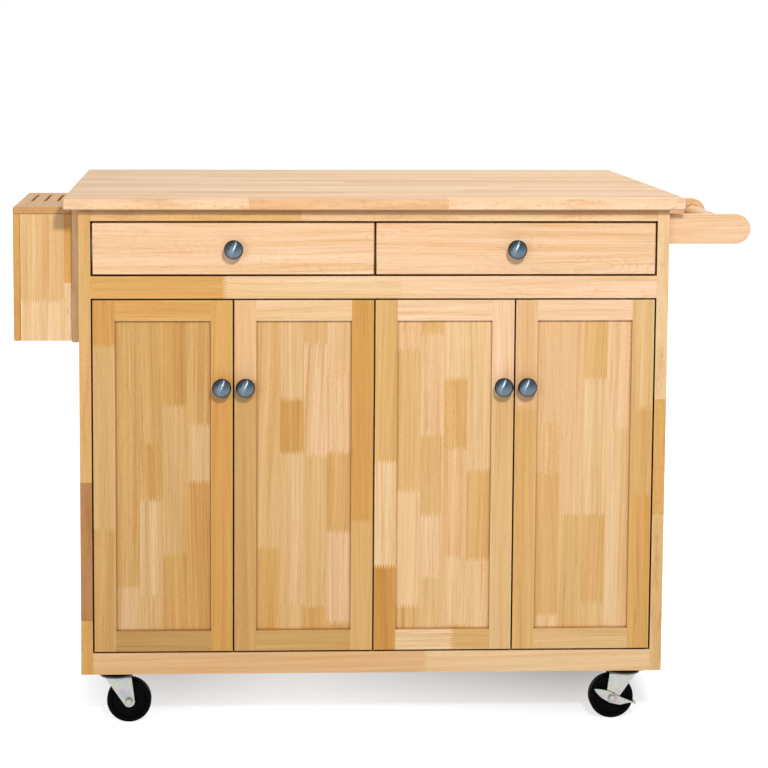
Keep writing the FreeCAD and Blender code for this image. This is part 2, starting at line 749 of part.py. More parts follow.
def make_knife_block():
    """The knife block on the left side: a slotted top on a case of boards, on a mounting board."""
    keep(board("knife_block_mount", ("block_mount_thick", "block_deep", "block_tall + block_mount_drop"),
               ("left_x - block_mount_thick", "block_y", "block_z - block_mount_drop"), "block_ease"))

    top = board("knife_block_top", ("block_wide", "block_deep", "block_board"),
                ("block_x", "block_y", "block_z + block_tall - block_board"), "block_ease")
    slot = rectangle(top, "XY_Plane", "slot_first - slot_wide / 2", "slot_setback",
                     "slot_first + slot_wide / 2", "slot_setback + slot_long", lift="block_board")
    cut = pocket(top, slot, "block_board")
    row = top.newObject("PartDesign::LinearPattern", "knife_block_slots")
    row.Originals = [cut]
    row.Direction = (slot, ["H_Axis"])
    bind(row, Length="slot_pitch * (slot_count - 1)", Occurrences="slot_count")
    top.Tip = row
    keep(top)

    case_tall = "block_tall - block_board"
    inner_x = "block_x + block_board"
    side_size = ("block_board", "block_deep", case_tall)
    end_size = ("block_inner_wide", "block_board", case_tall)
    group("knife_block_case", [
        board("block_side_outer", side_size, ("block_x", "block_y", "block_z"), "block_ease"),
        board("block_side_inner", side_size, ("block_x + block_wide - block_board", "block_y", "block_z")),
        board("block_end_front", end_size, (inner_x, "block_y", "block_z")),
        board("block_end_back", end_size, (inner_x, "block_y + block_deep - block_board", "block_z")),
        board("block_floor", ("block_inner_wide", "block_deep - 2 * block_board", "block_board"),
              (inner_x, "block_y + block_board", "block_z")),
    ])


def towel_arm(name, y, bored_at_back):
    """A flat arm with a half-round outer end and a blind bore for the bar."""
    arm = new_body(name)
    half = "arm_tall / 2"
    profile = [(0, 0), (f"arm_reach - {half}", 0), ("arm_reach", half), (f"arm_reach - {half}", "arm_tall"),
               (0, "arm_tall")]
    pad(arm, outline(arm, "XZ_Plane", profile, {1: half, 2: half}), "arm_thick")
    ease(arm, "arm_ease")
    lift = 0 if bored_at_back else "arm_thick"
    bore = circle(arm, "XZ_Plane", f"arm_reach - {half}", half, "bar_radius + bar_play", lift=lift)
    pocket(arm, bore, "bar_housed", Reversed=bored_at_back)
    return place(arm, "right_x", f"{y} + arm_thick", "arm_z")


def make_towel_rack():
    """Two arms on the right side and the round bar housed between them."""
    group("towel_arms", [
        towel_arm("towel_arm_front", "arm_y", True),
        towel_arm("towel_arm_back", "arm_y + arm_spacing", False),
    ])
    bar = new_body("towel_bar")
    pad(bar, circle(bar, "XZ_Plane", 0, 0, "bar_radius"), "arm_spacing - arm_thick + 2 * bar_housed")
    keep(place(bar, "bar_x", "arm_y + arm_spacing + bar_housed", "bar_z"))


# ---------------------------------------------------------------- drop leaf hardware

def hinge_wing(name, moving):
    """One half of a butt hinge under the seam: a flat wing and its share of the five knuckles."""
    wing = new_body(name)
    reach = "hinge_wing + hinge_knuckle_radius"
    knuckle = "hinge_long / 5"
    way = 1 if moving else -1
    inner = f"{way} * (hinge_knuckle_radius + hinge_knuckle_gap)"
    plate = rectangle(wing, "XY_Plane", 0, inner, "hinge_long", f"{way} * ({reach})",
                      lift="hinge_knuckle_radius - hinge_sheet")
    pad(wing, plate, "hinge_sheet")
    for n in ((1, 3) if moving else (0, 2, 4)):
        start = f"{n} * {knuckle} + hinge_knuckle_gap / 2"
        long = f"{knuckle} - hinge_knuckle_gap"
        pad(wing, circle(wing, "YZ_Plane", 0, 0, "hinge_knuckle_radius", lift=start), long)
        bridge = rectangle(wing, "YZ_Plane", 0, "hinge_knuckle_radius - hinge_sheet", inner,
                           "hinge_knuckle_radius", lift=start)
        pad(wing, bridge, long)
    if moving:
        bore = circle(wing, "YZ_Plane", 0, 0, "hinge_pin_radius + hinge_play")
        pocket(wing, bore, "hinge_long", Reversed=True)
    else:
        pad(wing, circle(wing, "YZ_Plane", 0, 0, "hinge_pin_radius"), "hinge_long")
    return wing


def make_leaf_hinges():
    """Three butt hinges under the seam between the worktop and the leaf."""
    for label, moving in (("leaf_hinges_fixed", False), ("leaf_hinges_moving", True)):
        group(label, [
            place(hinge_wing(f"{label}_{n + 2}", moving),
                  f"centre_x + {n} * hinge_spacing - hinge_long / 2", "hinge_y", "hinge_z")
            for n in (-1, 0, 1)
        ])


def stay_link(name, long):
    """A flat link with round ends and a hole for the pin at its pivot."""
    link = new_body(name)
    half = "stay_link_half"
    profile = [(0, f"0 - {half}"), (long, f"0 - {half}"), (f"{long} + {half}", 0), (long, half), (0, half),
               (f"0 - {half}", 0)]
    arcs = {n: half for n in (1, 2, 4, 5)}
    pad(link, outline(link, "YZ_Plane", profile, arcs), "stay_link_thick")
    hole = circle(link, "YZ_Plane", 0, 0, "stay_pin_radius + stay_play")
    pocket(link, hole, "stay_link_thick", Reversed=True)
    return link


def stay_plate(name, leaf_end):
    """A stay's end plate: a flat flange on the wood, an ear square to it and the pivot pin on the ear."""
    plate = new_body(name)
    off = "stay_leaf_pivot_off" if leaf_end else "stay_pivot_off"
    half = "stay_plate_long / 2"
    if leaf_end:
        flange = rectangle(plate, "XY_Plane", 0, f"0 - {half}", "stay_plate_wide", half,
                           lift=f"{off} - stay_sheet")
        ear = [(f"0 - {half}", off), ("0 - stay_link_half", 0), (0, "0 - stay_link_half"),
               ("stay_link_half", 0), (half, off)]
        arcs = {1: "stay_link_half", 2: "stay_link_half"}
    else:
        flange = rectangle(plate, "XZ_Plane", 0, f"0 - {half}", "stay_plate_wide", half,
                           lift=f"{off} - stay_sheet")
        ear = [(f"0 - {off}", f"0 - {half}"), (0, "0 - stay_link_half"), ("stay_link_half", 0),
               (0, "stay_link_half"), (f"0 - {off}", half)]
        arcs = {1: "stay_link_half", 2: "stay_link_half"}
    pad(plate, flange, "stay_sheet")
    pad(plate, outline(plate, "YZ_Plane", ear, arcs), "stay_sheet")
    pin = circle(plate, "YZ_Plane", 0, 0, "stay_pin_radius", lift=0 if leaf_end else "stay_sheet")
    pad(plate, pin, "stay_side_gap + stay_link_thick", Reversed=leaf_end)
    return plate


def make_stays():
    """Two folding stays that hold the leaf level, one on the rear edge of each side."""
    walls = ("left_x", "inner_right_x")
    parts = {"stay_wall_plates": [], "stay_lower_links": [], "stay_upper_links": [], "stay_leaf_plates": []}
    for n, x in enumerate(walls, 1):
        first = f"{x} + stay_sheet + stay_side_gap"
        parts["stay_wall_plates"].append(
            place(stay_plate(f"stay_wall_plate_{n}", False), x, "stay_ground_y", "stay_ground_z"))
        parts["stay_lower_links"].append(
            place(stay_link(f"stay_lower_link_{n}", "stay_lower_long"), first, "stay_ground_y",
                  "stay_ground_z", (1, 0, 0), "stay_tilt"))
        parts["stay_upper_links"].append(
            place(stay_link(f"stay_upper_link_{n}", "stay_upper_long"), f"{first} + stay_pitch",
                  "stay_leaf_y", "stay_leaf_z", (1, 0, 0), "stay_tilt + 180 deg"))
        parts["stay_leaf_plates"].append(
            place(stay_plate(f"stay_leaf_plate_{n}", True), f"{first} + 2 * stay_pitch",
                  "stay_leaf_y", "stay_leaf_z"))
    for label, pieces in parts.items():
        group(label, pieces)


# ---------------------------------------------------------------- casters

def caster_plate(name, x, y):
    """A caster's top plate with four bolt holes, its upper race, and the kingpin with its head."""
    plate = new_body(name)
    half = "caster_plate / 2"
    inner = f"({half} - caster_corner)"
    corners = []
    for way_x, way_y in ((1, -1), (1, 1), (-1, 1), (-1, -1)):
        flat_x, flat_y = f"{way_x} * {half}", f"{way_y} * {half}"
        short_x, short_y = f"{way_x} * {inner}", f"{way_y} * {inner}"
        pair = [(short_x, flat_y), (flat_x, short_y)]
        corners += pair if way_x * way_y < 0 else pair[::-1]
    arcs = {n: "caster_corner" for n in (0, 2, 4, 6)}
    pad(plate, outline(plate, "XY_Plane", corners, arcs, lift="0 - caster_plate_thick"), "caster_plate_thick")
    step = "caster_bolt_spacing / 2"
    for way_x, way_y in ((1, 1), (1, -1), (-1, 1), (-1, -1)):
        hole = circle(plate, "XY_Plane", f"{way_x} * {step}", f"{way_y} * {step}", "caster_bolt_radius")
        pocket(plate, hole, "caster_plate_thick")
    race_z = "0 - caster_plate_thick - race_tall"
    pin_z = f"{race_z} - 2 * swivel_gap - fork_sheet"
    head_z = f"{pin_z} - kingpin_head_thick"
    profile = [(0, head_z), ("kingpin_head_radius", head_z), ("kingpin_head_radius", pin_z),
               ("kingpin_radius", pin_z), ("kingpin_radius", race_z), ("race_radius", race_z),
               ("race_radius", f"{race_z} + race_rim"), ("race_foot_radius", "0 - caster_plate_thick"),
               (0, "0 - caster_plate_thick")]
    revolve(plate, outline(plate, "XZ_Plane", profile))
    return place(plate, x, y, "floor_height")


def make_fork(name, x, y, turn):
    """A caster's fork: a round crown, two tapered legs trailing behind it and the axle bolt."""
    fork = new_body(name)
    pad(fork, circle(fork, "XY_Plane", 0, 0, "crown_radius", lift="crown_z"), "fork_sheet")
    end = "leg_end_radius"
    axle_z = "wheel_radius"
    leg = [("0 - leg_front", "crown_top_z"),
           ("caster_trail - leg_flank_in", f"{axle_z} - leg_flank_drop"),
           ("caster_trail", f"{axle_z} - {end}"), (f"caster_trail + {end}", axle_z),
           ("leg_back", "crown_top_z")]
    arcs = {1: end, 2: end}
    pad(fork, outline(fork, "XZ_Plane", leg, arcs), "fork_wide", Midplane=True)
    inside = rectangle(fork, "XZ_Plane", "0 - crown_radius", 0, "caster_trail + crown_radius", "crown_z")
    pocket(fork, inside, "fork_inner", Midplane=True)
    bore = circle(fork, "XY_Plane", 0, 0, "kingpin_radius + kingpin_play", lift="crown_top_z")
    pocket(fork, bore, "fork_sheet")
    span = "(brake_wide + 2 * brake_play)"
    pad(fork, circle(fork, "XZ_Plane", "caster_trail", axle_z, "axle_radius"), span, Midplane=True)
    for way, lift in ((True, f"0 - {span} / 2"), (False, f"{span} / 2")):
        for radius, thick in (("axle_washer_radius", "axle_washer_thick"),
                              ("axle_head_radius", "axle_washer_thick + axle_head_thick")):
            disc = circle(fork, "XZ_Plane", "caster_trail", axle_z, radius, lift=lift)
            pad(fork, disc, thick, Reversed=way)
    return keep(place(fork, x, y, 0, (0, 0, 1), turn))


def make_wheel(name, x, y, turn):
    """A turned wheel: a tread with rounded shoulders, dished sides and a hub bored for the axle."""
    wheel = new_body(name)
    half, hub = "wheel_wide / 2", "hub_wide / 2"
    bore = "axle_radius + axle_play"
    shoulder = "wheel_shoulder"
    side = [(bore, hub), ("hub_radius", hub), ("hub_radius + dish_slope", f"{half} - wheel_dish"),
            ("wheel_dish_radius", f"{half} - wheel_dish"), ("wheel_dish_radius + dish_slope", half),
            (f"wheel_radius - {shoulder}", half), ("wheel_radius", f"{half} - {shoulder}")]
    profile = [(bore, f"0 - {hub}")] + [(r, f"0 - ({w})") for r, w in side[1:]] + list(reversed(side))
    arcs = {5: shoulder, 7: shoulder}
    revolve(wheel, outline(wheel, "XY_Plane", profile, arcs))
    trail = "caster_trail" if turn == 0 else "0 - caster_trail"
    return keep(place(wheel, f"{x} + {trail}", y, "wheel_radius"))


def make_brake(name, x, y):
    """A side brake: two boat-shaped cheeks rocking on the axle, joined by a tread tab at the toe."""
    brake = new_body(name)
    tip = "brake_toe + brake_tab"
    sheet_half = "brake_sheet / 2"
    boat = [("0 - brake_heel", "brake_rise"), ("0 - brake_keel_back", "0 - brake_hub"),
            ("brake_keel_front", "0 - brake_keel_drop"), ("brake_neck", "brake_rise - brake_neck_drop"),
            (tip, f"brake_rise - {sheet_half}"), (tip, f"brake_rise + {sheet_half}"),
            ("brake_hub", "brake_shoulder")]
    arcs = {0: "brake_belly_radius", 1: "brake_keel_radius", 6: "brake_back_radius"}
    pad(brake, outline(brake, "XZ_Plane", boat, arcs), "brake_wide", Midplane=True)
    inside = rectangle(brake, "XZ_Plane", "0 - brake_heel - brake_hub", "0 - brake_heel",
                       "brake_toe", "brake_heel")
    pocket(brake, inside, "brake_inner", Midplane=True)
    bore = circle(brake, "XZ_Plane", 0, 0, "axle_radius + axle_play")
    pocket(brake, bore, "brake_wide", Midplane=True)
    return keep(place(brake, x, y, "wheel_radius", (0, 1, 0), "brake_tilt"))


def make_casters():
    """Four swivel casters, trailing towards the cart's middle; the right pair carries the brakes."""
    near, far = "cabinet_y + caster_inset_front", "cabinet_back_y - caster_inset_front"
    left, right = "left_x + caster_inset_side", "right_x - caster_inset_side"
    corners = {"front_left": (left, near, 0), "rear_left": (left, far, 0),
               "front_right": (right, near, 180), "rear_right": (right, far, 180)}
    group("caster_plates", [caster_plate(f"caster_plate_{end}", x, y) for end, (x, y, _) in corners.items()])
    for end, (x, y, turn) in corners.items():
        make_fork(f"caster_{end}_fork", x, y, turn)
        make_wheel(f"caster_{end}_wheel", x, y, turn)
        if turn:
            make_brake(f"caster_{end}_brake", f"{x} - caster_trail", y)


# ---------------------------------------------------------------- the whole cart

make_tops()
make_cabinet()
make_shelves()
for door_number, door_on_left in DOORS:
    make_door(door_number, door_on_left)
make_drawer(1, "left")
make_drawer(2, "right")
make_fixed_runners()
make_knife_block()
make_towel_rack()
make_leaf_hinges()
make_stays()
make_casters()

doc.recompute()
for item in doc.Objects:
    if {"Invalid", "Error"} & set(item.State):
        raise RuntimeError(f"{item.Label} failed to build")
for name in LABELS:
    shape = doc.getObject(name).Shape
    if shape.isNull() or not shape.isValid():
        raise RuntimeError(f"{name} has no valid shape")

os.makedirs("parts", exist_ok=True)
for name in LABELS:
    item = doc.getObject(name)
    item.Shape.exportStep(f"parts/{item.Label}.step")
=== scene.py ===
import json
import math
from functools import partial

import bmesh
import bpy
from mathutils import Euler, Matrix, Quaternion, Vector


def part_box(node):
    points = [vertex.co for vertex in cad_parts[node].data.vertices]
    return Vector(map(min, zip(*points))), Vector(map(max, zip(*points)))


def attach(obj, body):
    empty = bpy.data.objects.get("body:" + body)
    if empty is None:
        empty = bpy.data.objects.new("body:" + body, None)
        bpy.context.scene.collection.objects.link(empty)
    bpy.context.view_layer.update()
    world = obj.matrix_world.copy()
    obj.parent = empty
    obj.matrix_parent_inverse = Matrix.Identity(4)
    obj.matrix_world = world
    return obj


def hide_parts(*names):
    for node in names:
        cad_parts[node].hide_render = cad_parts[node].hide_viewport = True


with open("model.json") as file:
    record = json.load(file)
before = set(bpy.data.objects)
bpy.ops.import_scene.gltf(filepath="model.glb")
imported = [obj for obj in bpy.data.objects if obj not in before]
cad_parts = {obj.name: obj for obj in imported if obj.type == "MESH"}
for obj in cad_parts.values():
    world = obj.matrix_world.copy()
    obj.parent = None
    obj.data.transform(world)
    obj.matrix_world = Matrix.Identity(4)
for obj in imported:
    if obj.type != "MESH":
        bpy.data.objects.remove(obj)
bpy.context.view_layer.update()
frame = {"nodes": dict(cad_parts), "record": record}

MM = 0.001


# ---------------------------------------------------------------- node trees written as formulas

def linear(red, green, blue):
    """A colour as Blender keeps it, from the 0 to 255 values that a screen shows."""
    def channel(level):
        part = level / 255
        return part / 12.92 if part <= 0.04045 else ((part + 0.055) / 1.055) ** 2.4
    return (channel(red), channel(green), channel(blue), 1.0)


class Material:
    """A node material whose values are written as calls that return sockets."""

    def __init__(self, name, **constants):
        self.data = bpy.data.materials.new(name)
        self.data.use_nodes = True
        self.nodes = self.data.node_tree.nodes
        self.links = self.data.node_tree.links
        self.nodes.clear()
        self.shader = self.add("ShaderNodeBsdfPrincipled")
        output = self.add("ShaderNodeOutputMaterial")
        self.links.new(self.shader.outputs["BSDF"], output.inputs["Surface"])
        for socket, constant in constants.items():
            self.shader.inputs[socket.replace("_", " ")].default_value = constant

    def add(self, kind, **settings):
        node = self.nodes.new(kind)
        for name, setting in settings.items():
            setattr(node, name, setting)
        return node

    def feed(self, socket, value):
        """Join a value to a socket: another socket by a link, a number or colour as it is."""
        if isinstance(value, bpy.types.NodeSocket):
            self.links.new(value, socket)
        else:
            socket.default_value = value

    def math(self, operation, *values, clamp=False):
        node = self.add("ShaderNodeMath", operation=operation, use_clamp=clamp)
        for socket, value in zip(node.inputs, values):
            self.feed(socket, value)
        return node.outputs[0]

    def blend(self, factor, first, second, mode="MIX"):
        """A colour between two colours."""
        node = self.add("ShaderNodeMix", data_type="RGBA", blend_type=mode)
        self.feed(node.inputs["Factor"], factor)
        self.feed(node.inputs["A"], first)
        self.feed(node.inputs["B"], second)
        return node.outputs["Result"]

    def vector(self, x, y, z):
        node = self.add("ShaderNodeCombineXYZ")
        for socket, value in zip(node.inputs, (x, y, z)):
            self.feed(socket, value)
        return node.outputs[0]

    def parts(self, vector):
        node = self.add("ShaderNodeSeparateXYZ")
        self.feed(node.inputs[0], vector)
        return node.outputs

    def attribute(self, name, output="Vector"):
        return self.add("ShaderNodeAttribute", attribute_name=name).outputs[output]

    def noise(self, vector, scale=1.0, detail=2.0, roughness=0.5, distortion=0.0, output="Fac"):
        node = self.add("ShaderNodeTexNoise")
        self.feed(node.inputs["Vector"], vector)
        for socket, value in (("Scale", scale), ("Detail", detail), ("Roughness", roughness),
                              ("Distortion", distortion)):
            self.feed(node.inputs[socket], value)
        return node.outputs[output]

    def chance(self, vector, output="Value"):
        """A random number, or three as a colour, that is the same wherever the vector is."""
        node = self.add("ShaderNodeTexWhiteNoise", noise_dimensions="3D")
        self.feed(node.inputs["Vector"], vector)
        return node.outputs[output]

    def scaled(self, value, low, high, new_low=0.0, new_high=1.0, smooth=False):
        """A value moved from one range to another, and held inside it."""
        kind = "SMOOTHSTEP" if smooth else "LINEAR"
        node = self.add("ShaderNodeMapRange", interpolation_type=kind, clamp=True)
        for socket, item in zip(node.inputs, (value, low, high, new_low, new_high)):
            self.feed(socket, item)
        return node.outputs[0]

    def ramp(self, value, stops, interpolation="LINEAR"):
        """A colour looked up along a row of (place, colour) stops."""
        node = self.add("ShaderNodeValToRGB")
        node.color_ramp.interpolation = interpolation
        self.feed(node.inputs[0], value)
        row = node.color_ramp.elements
        while len(row) < len(stops):
            row.new(0.5)
        for element, (place, colour) in zip(row, stops):
            element.position = place
            element.color = colour
        return node.outputs[0]

    def bump(self, height, distance, strength=1.0):
        node = self.add("ShaderNodeBump")
        node.inputs["Strength"].default_value = strength
        node.inputs["Distance"].default_value = distance
        self.feed(node.inputs["Height"], height)
        self.feed(self.shader.inputs["Normal"], node.outputs[0])


# ---------------------------------------------------------------- lacquered rubberwood

TONES = {
    "milk": linear(250, 210, 168),
    "blush": linear(247, 206, 162),
    "cream": linear(241, 203, 152),
    "rose": linear(239, 192, 143),
    "peach": linear(233, 187, 132),
    "straw": linear(231, 189, 127),
    "honey": linear(224, 177, 106),
    "golden": linear(221, 168, 88),
    "amber": linear(214, 157, 74),
    "sand": linear(214, 172, 105),
    "tan": linear(208, 161, 90),
    "ochre": linear(194, 148, 76),
    "russet": linear(208, 148, 58),
    "brown": linear(186, 130, 70),
}

FINGER_LONG = 0.010
FINGER_WIDE = 0.0044
NEVER = 99.0

# what grain and painted shade do to a tone, as factors on its red, green and blue
PALER = (1.07, 1.10, 1.17, 1.0)
DEEPER = (0.93, 0.85, 0.70, 1.0)
PINKER = (1.03, 0.97, 0.98, 1.0)
LATE = (0.80, 0.66, 0.46, 1.0)
PORE = (0.62, 0.48, 0.34, 1.0)
CURL = (1.07, 1.09, 1.12, 1.0)
PAINTED_SHADE_TINT = (0.66, 0.42, 0.18, 1.0)


def between(first, second, share):
    """The colour that lies a share of the way from one colour to another."""
    return tuple(a + (b - a) * share for a, b in zip(first, second))


def wood(name, stave=0.039, block=0.26, figure=0.5, tones=("cream", "straw", "honey", "golden"),
         rows=(), ground="straw", margin=0.0, length=1.0, shade=0.94, reach=0.005, sweep=0.11):
    """Clear-lacquered rubberwood glued up from finger-jointed staves.

    It reads the boards' own coordinates: along the grain, across it and through the board. The
    band along a board's first edge takes its three tones from the board, split at its two finger
    joints. Beyond the band each block takes a chance tone, or, where rows are given, a tone half
    way from the ground tone to the ones that the rows name from end to end of each stave.
    """
    mat = Material(name, Specular_IOR_Level=0.45, Coat_Weight=0.25, Coat_Roughness=0.32)
    along, across, through = mat.parts(mat.attribute("grain"))
    seed, first_joint, second_joint = mat.parts(mat.attribute("board"))
    times, plus, minus = (partial(mat.math, kind) for kind in ("MULTIPLY", "ADD", "SUBTRACT"))

    # staves side by side, each of blocks that meet in finger joints
    sway = times(mat.noise(mat.vector(times(across, 14.0), seed, 0.0), 1.0, 0.0), 0.0 if rows else stave * 0.9)
    row = mat.math("DIVIDE", plus(minus(across, margin), sway), stave)
    column = mat.math("FLOOR", row)
    finger = times(mat.math("PINGPONG", plus(across, seed), FINGER_WIDE / 2), 2 * FINGER_LONG / FINGER_WIDE)
    combed = plus(along, finger)
    if rows:
        share = mat.math("DIVIDE", combed, length)
        for n, stops in enumerate(rows):
            stops = [(place, between(TONES[ground], TONES[tone], 0.55)) for tone, place in stops]
            row_tone = mat.ramp(share, stops, "CONSTANT")
            beyond = mat.math("GREATER_THAN", column, n - 0.5)
            chance_tone = mat.blend(beyond, chance_tone, row_tone) if n else row_tone
    else:
        shift, stretch, _ = mat.parts(mat.chance(mat.vector(column, seed, 3.0), "Color"))
        long = mat.scaled(stretch, 0.0, 1.0, block * 0.6, block * 1.6)
        piece = mat.math("FLOOR", mat.math("DIVIDE", plus(combed, times(shift, 3.0)), long))
        pick = mat.chance(mat.vector(column, piece, seed))
        chance_tone = mat.ramp(pick, [(n / (len(tones) - 1), TONES[tone]) for n, tone in enumerate(tones)])

    past_first = mat.math("GREATER_THAN", combed, first_joint)
    past_second = mat.math("GREATER_THAN", combed, second_joint)
    own_tone = mat.blend(past_first, mat.attribute("tone_near", "Color"), mat.attribute("tone_middle", "Color"))
    own_tone = mat.blend(past_second, own_tone, mat.attribute("tone_far", "Color"))
    in_band = mat.math("LESS_THAN", across, mat.attribute("band", "Fac"))
    beyond_band = minus(1.0, in_band)
    tone = mat.blend(in_band, chance_tone, own_tone)

    # each block is cut from its own place in the log
    red, green, _ = mat.parts(tone)
    block_row = plus(times(column, beyond_band), times(in_band, plus(past_first, past_second)))
    number, lean, boldness = mat.parts(mat.chance(mat.vector(block_row, plus(red, seed), green), "Color"))
    slope = mat.scaled(lean, 0.0, 1.0, -0.035, 0.035)
    side = plus(across, times(along, slope))
    run = plus(along, times(number, 7.0))
    deep = plus(through, plus(number, times(seed, 1.7)))

    def log(u, v, w):
        return mat.vector(times(run, u), times(side, v), times(deep, w))

    def veil(colour, amount, factors):
        return mat.blend(amount, colour, factors, "MULTIPLY")

    broad = mat.noise(log(1.3, 76.0, 12.0), 1.0, 2.0, 0.6)
    drift = mat.noise(log(3.2, 12.0, 4.0), 1.0, 2.0, 0.5)
    streak = mat.noise(log(4.5, 420.0, 60.0), 1.0, 3.0, 0.66)
    fibre = mat.noise(log(30.0, 1300.0, 300.0), 1.0, 2.0, 0.6)
    pores = mat.noise(log(120.0, 1900.0, 500.0), 1.0, 1.0, 0.5)
    cloud = mat.noise(log(7.0, 16.0, 5.0), 1.0, 2.0, 0.5)

    colour = veil(tone, mat.scaled(broad, 0.5, 0.62, smooth=True), DEEPER)
    colour = veil(colour, mat.scaled(broad, 0.48, 0.38, smooth=True), PALER)
    colour = veil(colour, mat.scaled(cloud, 0.45, 0.7, smooth=True), PINKER)

    # growth rings come up as thin late-wood lines, bolder in some blocks than in others
    wave = mat.math("FRACT", times(plus(side, times(drift, sweep)), 115.0))
    late = mat.math("POWER", wave, 7.0)
    bold = times(mat.scaled(boldness, 0.25, 1.0, 0.15, 1.0), figure)
    colour = veil(colour, times(late, bold), LATE)
    colour = veil(colour, mat.scaled(streak, 0.53, 0.68, 0.0, 0.85), LATE)
    colour = veil(colour, mat.scaled(streak, 0.48, 0.32), PALER)
    colour = veil(colour, mat.scaled(fibre, 0.54, 0.74, 0.0, 0.4), LATE)
    colour = veil(colour, mat.scaled(pores, 0.62, 0.72, 0.0, 0.6), PORE)

    # curl: pale ripples across the grain, in patches
    ripple = mat.math("SINE", plus(times(plus(along, times(across, 0.7)), 560.0), times(drift, 22.0)))
    patch = times(mat.scaled(cloud, 0.54, 0.72, smooth=True), mat.scaled(ripple, 0.1, 1.0))
    colour = veil(colour, times(patch, 0.75), CURL)

    # now and then a short dark fleck
    fleck = mat.noise(log(9.0, 95.0, 30.0), 1.0, 0.0)
    colour = veil(colour, mat.scaled(fleck, 0.86, 0.92, 0.0, 0.8), PORE)

    # a fine dark line where two staves meet
    seam = mat.scaled(mat.math("PINGPONG", row, 0.5), 0.0, 0.0005 / stave, 0.3, 0.0)
    colour = veil(colour, times(seam, beyond_band), LATE)

    # end grain is darker and dotted
    dots = mat.noise(mat.vector(times(across, 900.0), times(through, 900.0), seed), 1.0, 2.0)
    end_tone = mat.blend(mat.scaled(dots, 0.35, 0.7), linear(214, 166, 108), linear(172, 120, 68))
    colour = mat.blend(times(mat.attribute("end_grain", "Fac"), 0.6), colour, end_tone)

    # painted shade: the colour darkens in the gaps and joints between boards, in the panels' recesses and under the
    # worktop's overhang
    painted_shade_ao = mat.add("ShaderNodeAmbientOcclusion", samples=2)
    painted_shade_ao.inputs["Distance"].default_value = reach
    colour = veil(colour, mat.scaled(painted_shade_ao.outputs["AO"], 0.45, 0.74, shade * 0.85, 0.0), PAINTED_SHADE_TINT)
    colour = mat.blend(mat.scaled(painted_shade_ao.outputs["AO"], 0.3, 0.57, shade, 0.0), colour, linear(44, 14, 6))
    mat.feed(mat.shader.inputs["Base Color"], colour)

    mat.feed(mat.shader.inputs["Roughness"], mat.scaled(streak, 0.2, 0.8, 0.30, 0.44))
    height = minus(times(fibre, 0.5), mat.scaled(pores, 0.62, 0.76))
    mat.bump(height, 0.04 * MM, 0.5)
    return mat.data


# ---------------------------------------------------------------- boards cut out of the CAD nodes

def solids_of(node):
    """The node's separate solids, each as a mesh of clean flat faces."""
    source = bmesh.new()
    source.from_mesh(frame["nodes"][node].data)
    bmesh.ops.remove_doubles(source, verts=source.verts, dist=1e-5)
    waiting = set(source.faces)
    while waiting:
        group = [waiting.pop()]
        for face in group:
            for edge in face.edges:
                if len(edge.link_faces) != 2:
                    continue
                for other in edge.link_faces:
                    if other in waiting:
                        waiting.discard(other)
                        group.append(other)
        solid = bmesh.new()
        copies = {}
        for face in group:
            corners = []
            for vert in face.verts:
                if vert not in copies:
                    copies[vert] = solid.verts.new(vert.co)
                corners.append(copies[vert])
            solid.faces.new(corners)
        bmesh.ops.dissolve_limit(solid, angle_limit=math.radians(1), verts=solid.verts, edges=solid.edges)
        yield solid
    source.free()


def corners_of(mesh):
    low = Vector([min(v.co[n] for v in mesh.verts) for n in range(3)])
    high = Vector([max(v.co[n] for v in mesh.verts) for n in range(3)])
    return low, high


def role_of(low, high, node):
    """Where one board of a framed front stands: left, right, low, high or middle."""
    node_low, node_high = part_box(node)
    touches = {"left": low.x - node_low.x, "right": node_high.x - high.x,
               "low": low.z - node_low.z, "high": node_high.z - high.z}
    if touches["left"] < MM and touches["right"] < MM:
        return "whole"
    for role, gap in touches.items():
        if gap < MM:
            return role
    return "middle"


